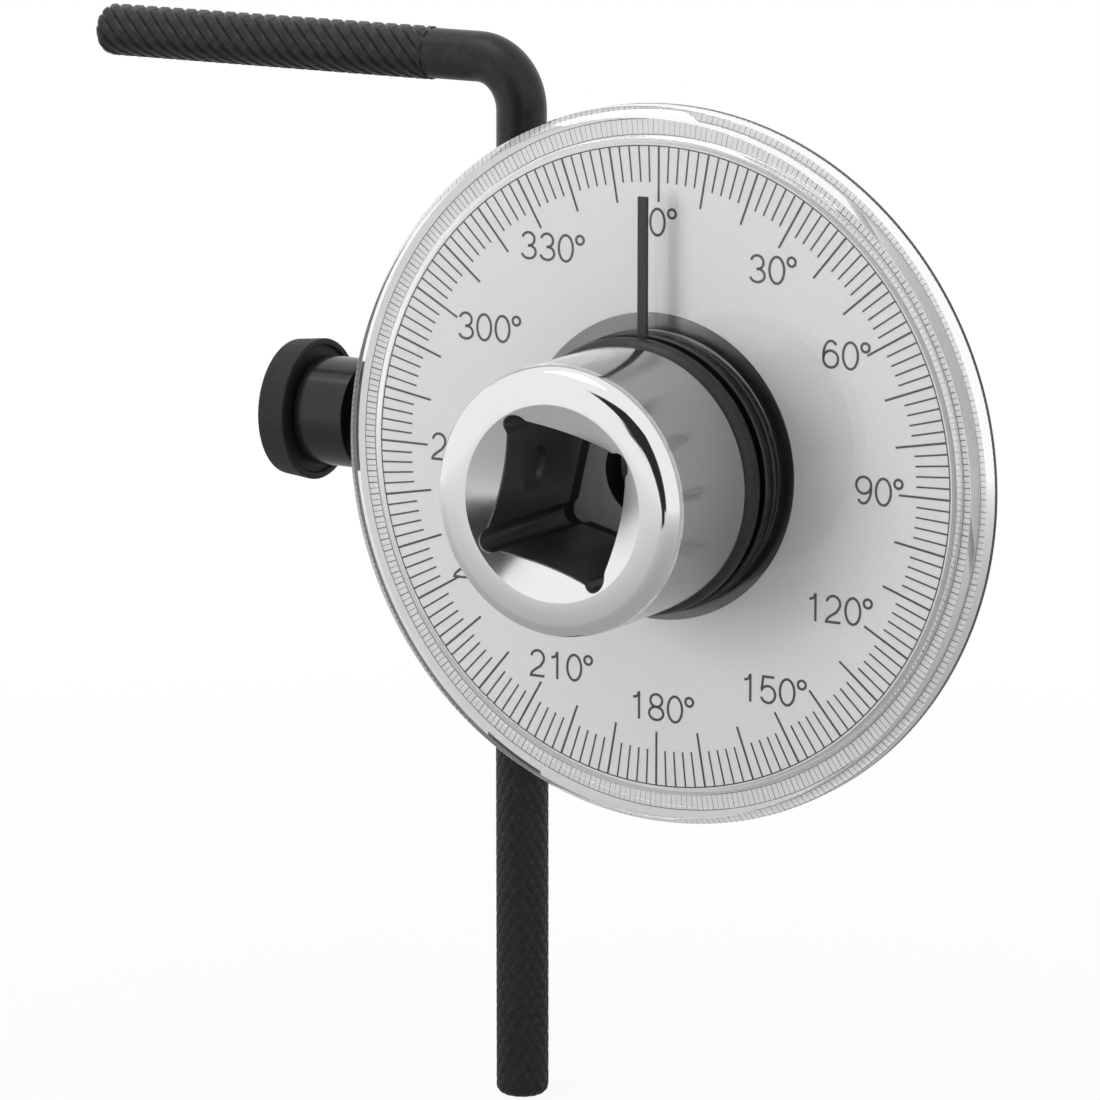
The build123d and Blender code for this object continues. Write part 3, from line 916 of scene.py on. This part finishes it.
# %% Thumbscrew neck and screw
nose_r, nose_from = 1.2, 27.15
screw_r, screw_from = 2.95, 28.2
collar_r, collar_from, collar_to = 5.55, 38.9, 44.8
collar_edge = 0.3
stud_r, stud_to = 3.2, 47.2
bm = lathe(
    [
        (0, nose_from),
        (nose_r, nose_from),
        (nose_r, screw_from),
        (screw_r, screw_from),
        (screw_r, collar_from),
        (collar_r, collar_from),
        (collar_r, collar_to - collar_edge),
        (collar_r - collar_edge, collar_to),
        (stud_r, collar_to),
        (stud_r, stud_to),
        (0, stud_to),
    ],
    128,
)
soften(bm, 0.12, 3)
lay_to_left(bm)
finish_piece("screw_neck", bm, "thumbscrew", gloss_black, ["thumbscrew_body"])

# %% [markdown]
# The knob is a plain round disc, turned a little narrower towards its outer face. A shallow
# recess runs round the neck on its inner face, and both rims are rounded.

# %% Knob
knob_r, knob_face_r = 7.2, 6.87
knob_to = 48.0
hollow_r, hollow_to = 6.5, 45.15
bm = lathe(
    [
        (stud_r, hollow_to),
        (hollow_r, hollow_to),
        (hollow_r, collar_to),
        (knob_r, collar_to),
        (knob_face_r, knob_to),
        (0, knob_to),
        (0, stud_to),
        (stud_r, stud_to),
    ],
    160,
)
soften(bm, 0.3, 4)
lay_to_left(bm)
finish_piece("round_knob", bm, "thumbscrew", moulded_black, ["thumbscrew_knob"])

# %% [markdown]
# The rod is knurled: two families of grooves wind round it in opposite directions and leave
# rows of diamonds. A flat grid is laid out along the two families, so that its lines already
# run with the grooves. Wrapping it round the rod closes it into a tube, and each point is then
# raised or lowered by where it stands between its two grooves.

# %% Knurl
cuts = 4
crest_r = 2.65
groove_half = 0.25


def cut_across(bm, level, way=1, clear=False):
    """Cut a tube square to its length, and clear what lies that way if asked."""
    bmesh.ops.bisect_plane(
        bm,
        geom=bm.verts[:] + bm.edges[:] + bm.faces[:],
        plane_co=(0, 0, level),
        plane_no=(0, 0, way),
        clear_outer=clear,
    )


def knurled_tube(starts, length, groove_a, groove_b, rise):
    """Knurled tube along Z from 0 to a length, with open ends trimmed square."""
    rows = int(length / rise) + 2 * starts + 2
    bm = bmesh.new()
    bmesh.ops.create_grid(bm, x_segments=rows * cuts, y_segments=starts * cuts, size=0.5)
    for vert in bm.verts:
        a = (vert.co.x + 0.5) * rows
        b = (vert.co.y + 0.5) * starts
        low_a = groove_a * max(0.0, 1 - abs(a - round(a)) / groove_half)
        low_b = groove_b * max(0.0, 1 - abs(b - round(b)) / groove_half)
        radius = crest_r - max(low_a, low_b)
        around = (a - b) * math.pi / starts
        along = (a + b - starts - 1) * rise
        vert.co = (radius * math.cos(around), radius * math.sin(around), along)
    bmesh.ops.remove_doubles(bm, verts=bm.verts, dist=0.002)
    cut_across(bm, 0, -1, clear=True)
    cut_across(bm, length, 1, clear=True)
    bmesh.ops.recalc_face_normals(bm, faces=bm.faces)
    return bm


def round_end(bm, level, inward, radius):
    """Draw the end of a tube in to a rounded edge and close it."""
    for share in (0.1, 0.3, 0.6, 1.0):
        cut_across(bm, level + inward * radius * share)
    for vert in bm.verts:
        back = (vert.co.z - level) * inward
        if back < radius:
            fall = radius - math.sqrt(max(0.0, radius**2 - (radius - back) ** 2))
            vert.co.x *= (crest_r - fall) / crest_r
            vert.co.y *= (crest_r - fall) / crest_r
    rim = [e for e in bm.edges if all(abs(v.co.z - level) < 0.001 for v in e.verts)]
    bmesh.ops.edgeloop_fill(bm, edges=rim)
    bmesh.ops.recalc_face_normals(bm, faces=bm.faces)


# %% [markdown]
# The upright has fine diamonds, with both families cut to the same depth. Its foot is rounded
# and its top runs out into the plain rod.

# %% Upright of the rod
foot_z = -68.2
knurl_top = 24.0
foot_round = 0.9
run_out = 0.15
bm = knurled_tube(14, knurl_top - foot_z, groove_a=0.09, groove_b=0.09, rise=0.97)
round_end(bm, 0, 1, foot_round)
round_end(bm, knurl_top - foot_z, -1, run_out)
bmesh.ops.translate(bm, vec=(rod_x, clamp_y, foot_z), verts=bm.verts)
finish_piece("knurled_upright", bm, "rod", rod_black, ["bent_rod"], 20)

# %% [markdown]
# On the arm one family is cut much deeper than the other, so it looks ribbed. The arm leans
# back by three degrees.

# %% Arm of the rod
arm_z = 37.2
arm_from = 10.4
arm_reach = 51.24
tip_round = 1.2
arm_turn = Matrix.Translation((rod_x, clamp_y, 0)) @ Matrix.Rotation(math.radians(-3), 4, "Z")
bm = knurled_tube(10, arm_reach - arm_from, groove_a=0.05, groove_b=0.24, rise=0.83)
round_end(bm, 0, 1, run_out)
round_end(bm, arm_reach - arm_from, -1, tip_round)
lay = Matrix.Translation((-arm_from, 0, arm_z)) @ Matrix.Rotation(math.radians(-90), 4, "Y")
bmesh.ops.transform(bm, matrix=arm_turn @ lay, verts=bm.verts)
finish_piece("knurled_arm", bm, "rod", rod_black, ["bent_rod"], 20)

# %% [markdown]
# Between the two knurls the rod is plain. A circle is drawn up straight, spun round the centre
# of the bend and drawn out straight again. Both ends reach half a millimetre into a knurl.

# %% Bend of the rod
bend_r = 5.0
bend_from = arm_z - bend_r
plain_r = 2.5
overlap = 0.5
bm = bmesh.new()
ring = bmesh.ops.create_circle(bm, segments=64, radius=plain_r)["verts"]
bmesh.ops.translate(bm, vec=(0, 0, knurl_top - overlap), verts=ring)
grown = bmesh.ops.extrude_edge_only(bm, edges=list(bm.edges))["geom"]
lifted = [part for part in grown if isinstance(part, bmesh.types.BMVert)]
bmesh.ops.translate(bm, vec=(0, 0, bend_from - knurl_top + overlap), verts=lifted)
turned = bmesh.ops.spin(
    bm,
    geom=[part for part in grown if not isinstance(part, bmesh.types.BMFace)],
    axis=(0, -1, 0),
    cent=(-bend_r, 0, bend_from),
    angle=math.pi / 2,
    steps=24,
)["geom_last"]
last_ring = [part for part in turned if isinstance(part, bmesh.types.BMEdge)]
grown = bmesh.ops.extrude_edge_only(bm, edges=last_ring)["geom"]
ahead = [part for part in grown if isinstance(part, bmesh.types.BMVert)]
bmesh.ops.translate(bm, vec=(bend_r - arm_from - overlap, 0, 0), verts=ahead)
open_edges = [e for e in bm.edges if e.is_boundary]
lower_rim = [e for e in open_edges if e.verts[0].co.z < bend_from - 1]
upper_rim = [e for e in open_edges if e.verts[0].co.z > bend_from - 1]
bmesh.ops.edgeloop_fill(bm, edges=lower_rim)
bmesh.ops.edgeloop_fill(bm, edges=upper_rim)
bmesh.ops.recalc_face_normals(bm, faces=bm.faces)
bmesh.ops.transform(bm, matrix=arm_turn, verts=bm.verts)
finish_piece("plain_bend", bm, "rod", rod_black, ["bent_rod"])

# %% [markdown]
# The other pieces keep the CAD's shape. A copy of each solid's mesh gets its loose triangles
# joined, its edges broken and smooth shading, which the facets of the plain solid lack.

# %% Copies with soft edges


def copy_of(node):
    """A solid's mesh as a bmesh in millimetres, with its loose triangles joined."""
    bm = bmesh.new()
    bm.from_mesh(frame["nodes"][node].data)
    bmesh.ops.scale(bm, vec=(1 / MM, 1 / MM, 1 / MM), verts=bm.verts)
    bmesh.ops.remove_doubles(bm, verts=bm.verts, dist=weld)
    flat = math.radians(0.2)
    bmesh.ops.dissolve_limit(bm, angle_limit=flat, verts=bm.verts, edges=bm.edges)
    return bm


for node, name, body, slot, material, width in (
    ("rear_housing", "cast_housing", "housing", "housing_black", body_black, 0.15),
    ("rod_clamp_bush", "clamp_collet", "clamp_bush", "bush_black", moulded_black, 0.08),
    ("spindle_circlip", "circlip", "spindle", "black_steel", black_steel, 0.08),
    ("thrust_washer", "washer", "housing", "bronze", bronze, 0.08),
    ("friction_o_ring", "o_ring", "spindle", "rubber", rubber, 0.0),
    ("detent_ball", "ball", "detent", "steel", steel, 0.0),
):
    bm = copy_of(node)
    if width:
        soften(bm, width, 2, 40)
    finish_piece(name, bm, body, material, [node])

# %% [markdown]
# The spring behind the ball is squeezed when the ball is pressed in. Its copy rides on no
# body, and its place is baked into its mesh.

# %% Coil spring
bm = copy_of("detent_spring")
spring = finish_piece("coil_spring", bm, None, steel, ["detent_spring"])
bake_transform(spring)

# %% [markdown]
# What stays hidden keeps its solid and gets its finish in the solid's own material slot.

# %% Finishes on the solids
for node, material in (
    ("spindle_bush", bronze),
    ("dial_dowel", steel),
    ("pressure_pad", brass),
):
    for slot in frame["nodes"][node].material_slots:
        slot.material = material
    print(node, "->", material.name)

# %% [markdown]
# The studio is a pale floor under a white sky. What the camera sees of both is white, and so
# is what shines in metal or shows through the lens. One helper tells these rays from the ones
# that carry light to the gauge, which a floor and sky of full white would bleach.

# %% Rays that see white


def maths(tree, operation, first, second):
    """A value worked out from a socket and from another socket or a number."""
    node = tree.nodes.new("ShaderNodeMath")
    node.operation = operation
    tree.links.new(first, node.inputs[0])
    if isinstance(second, float):
        node.inputs[1].default_value = second
    else:
        tree.links.new(second, node.inputs[1])
    return node.outputs["Value"]


def seen_rays(tree):
    """Sockets that are 1 for camera rays, and for rays off metal or through the lens."""
    ray = tree.nodes.new("ShaderNodeLightPath")
    glossy, through = ray.outputs["Is Glossy Ray"], ray.outputs["Is Transmission Ray"]
    mirrored = maths(tree, "MAXIMUM", glossy, through)
    direct = maths(tree, "LESS_THAN", ray.outputs["Diffuse Depth"], 0.5)
    return ray.outputs["Is Camera Ray"], maths(tree, "MULTIPLY", mirrored, direct)


# %% [markdown]
# The floor keeps the gauge's shadow: near the foot it is partly a lit surface, and further out
# it fades into the white. Metal mirrors it as a glow that is grey near the foot, painted shade
# for the floor round the gauge, and grows white with distance.

# %% Floor
floor_r = 2.5
floor_z = -0.0684
bm = bmesh.new()
bmesh.ops.create_circle(bm, segments=96, radius=floor_r, cap_ends=True)
bmesh.ops.translate(bm, vec=(0, 0, floor_z), verts=bm.verts)
floor = add_object("floor", bm)

paper = new_finish("white paper", (0.86, 0.86, 0.86), 0.9)
floor.data.materials.append(paper)
tree = paper.node_tree
seen_by_camera, seen_in_metal = seen_rays(tree)
place = tree.nodes.new("ShaderNodeTexCoord")
far = tree.nodes.new("ShaderNodeVectorMath")
far.operation = "LENGTH"
tree.links.new(place.outputs["Object"], far.inputs[0])


def by_distance(near_value, far_value, start, end):
    """A value that changes from the gauge's foot outwards, between two distances."""
    fade = tree.nodes.new("ShaderNodeMapRange")
    fade.inputs["From Min"].default_value = start
    fade.inputs["From Max"].default_value = end
    fade.inputs["To Min"].default_value = near_value
    fade.inputs["To Max"].default_value = far_value
    tree.links.new(far.outputs["Value"], fade.inputs["Value"])
    return fade.outputs["Result"]


def glow_over(before, share, brightness=None):
    """Lay a white glow over a shader, by a share from 0 to 1."""
    glow = tree.nodes.new("ShaderNodeEmission")
    if brightness:
        tree.links.new(brightness, glow.inputs["Color"])
    return mix_shaders(tree, share, before, glow.outputs["Emission"])


lit = tree.nodes["Principled BSDF"].outputs["BSDF"]
white_share = maths(tree, "MULTIPLY", by_distance(0.93, 1.0, 0.08, 0.25), seen_by_camera)
for_camera = glow_over(lit, white_share)
# Painted shade: the glow that metal sees is grey near the foot and white further out.
for_metal_painted_shade = glow_over(for_camera, seen_in_metal, by_distance(0.4, 1.0, 0.08, 0.5))
tree.links.new(for_metal_painted_shade, tree.nodes["Material Output"].inputs["Surface"])
print("floor at", floor_z)

# %% [markdown]
# The sky has two strengths. The weaker one lights the gauge, and full white is what is seen.

# %% White sky
world = bpy.data.worlds.new("white studio")
bpy.context.scene.world = world
world.use_nodes = True
tree = world.node_tree
light = tree.nodes["Background"]
white = tree.nodes.new("ShaderNodeBackground")
for background, strength in ((light, 0.49), (white, 1.0)):
    background.inputs["Color"].default_value = (1, 1, 1, 1)
    background.inputs["Strength"].default_value = strength
either = maths(tree, "MAXIMUM", *seen_rays(tree))
sky = mix_shaders(tree, either, light.outputs["Background"], white.outputs["Background"])
tree.links.new(sky, tree.nodes["World Output"].inputs["Surface"])
print("sky:", world.name)

# %% [markdown]
# Chrome in an all-white room looks like plaster. Photographers stand a black card beside the
# camera, and its dark reflection draws the edges of the metal. Here the card stands in front,
# mostly to the right, cut so that it darkens the lip above and the cone below on the left.
# Only mirrored rays see it.

# %% Black card
card_y = -0.25
card_outline = (
    (0.035, -0.068),
    (0.10, -0.068),
    (0.11, -0.045),
    (0.17, -0.045),
    (0.17, 0.19),
    (0.05, 0.19),
    (-0.085, 0.10),
    (-0.085, -0.01),
    (0.0, -0.03),
    (0.035, -0.045),
)
bm = bmesh.new()
bm.faces.new([bm.verts.new((x, card_y, z)) for x, z in card_outline])
card = add_object("black_card", bm)
card.data.materials.append(new_finish("black card", (0.015, 0.015, 0.015), 0.8))
card.visible_camera = False
card.visible_diffuse = False
card.visible_transmission = False
card.visible_shadow = False
print("card:", len(card_outline), "corners")

# %% [markdown]
# One softbox stands to the left in front and gives the soft shadows beside the collar and the
# pointer. Nothing that shines mirrors it, since it would print a hard white square on the
# chrome and the lens. A second, weaker one hangs above. Its mirror image lights the upper
# sides of the black pieces.

# %% Lamps
dial_middle = Vector((0, 0.02, 0))


def softbox(name, place, size, power, mirrored):
    """Square area lamp that looks at the dial, and whether shiny things mirror it."""
    data = bpy.data.lights.new(name, "AREA")
    data.shape = "SQUARE"
    data.size = size
    data.energy = power
    lamp = bpy.data.objects.new(name, data)
    lamp.location = place
    lamp.rotation_euler = (dial_middle - Vector(place)).to_track_quat("-Z", "Y").to_euler()
    lamp.visible_glossy = mirrored
    bpy.context.scene.collection.objects.link(lamp)
    print(name, "lamp:", power, "W")


softbox("key", (-0.42, -0.9, 0.12), size=0.42, power=4.0, mirrored=False)
softbox("top", (-0.25, -0.2, 0.9), size=0.5, power=1.6, mirrored=True)

# %% [markdown]
# The camera's place and lens were worked out from the dial's circles, the barrel and the rod
# in the photograph. The picture is square and looks down at the gauge from the right.

# %% Camera
data = bpy.data.cameras.new("camera")
data.sensor_width = 36
data.lens = 179.62
data.clip_start = 0.01
data.clip_end = 20
camera = bpy.data.objects.new("camera", data)
camera.location = (0.25214, -0.43151, 0.09827)
look = Vector((-0.49441, 0.84565, -0.20108))
camera.rotation_euler = look.to_track_quat("-Z", "Y").to_euler()
bpy.context.scene.collection.objects.link(camera)
bpy.context.scene.camera = camera
bpy.context.scene.view_settings.view_transform = "Standard"
print("camera lens", round(data.lens, 2), "mm")
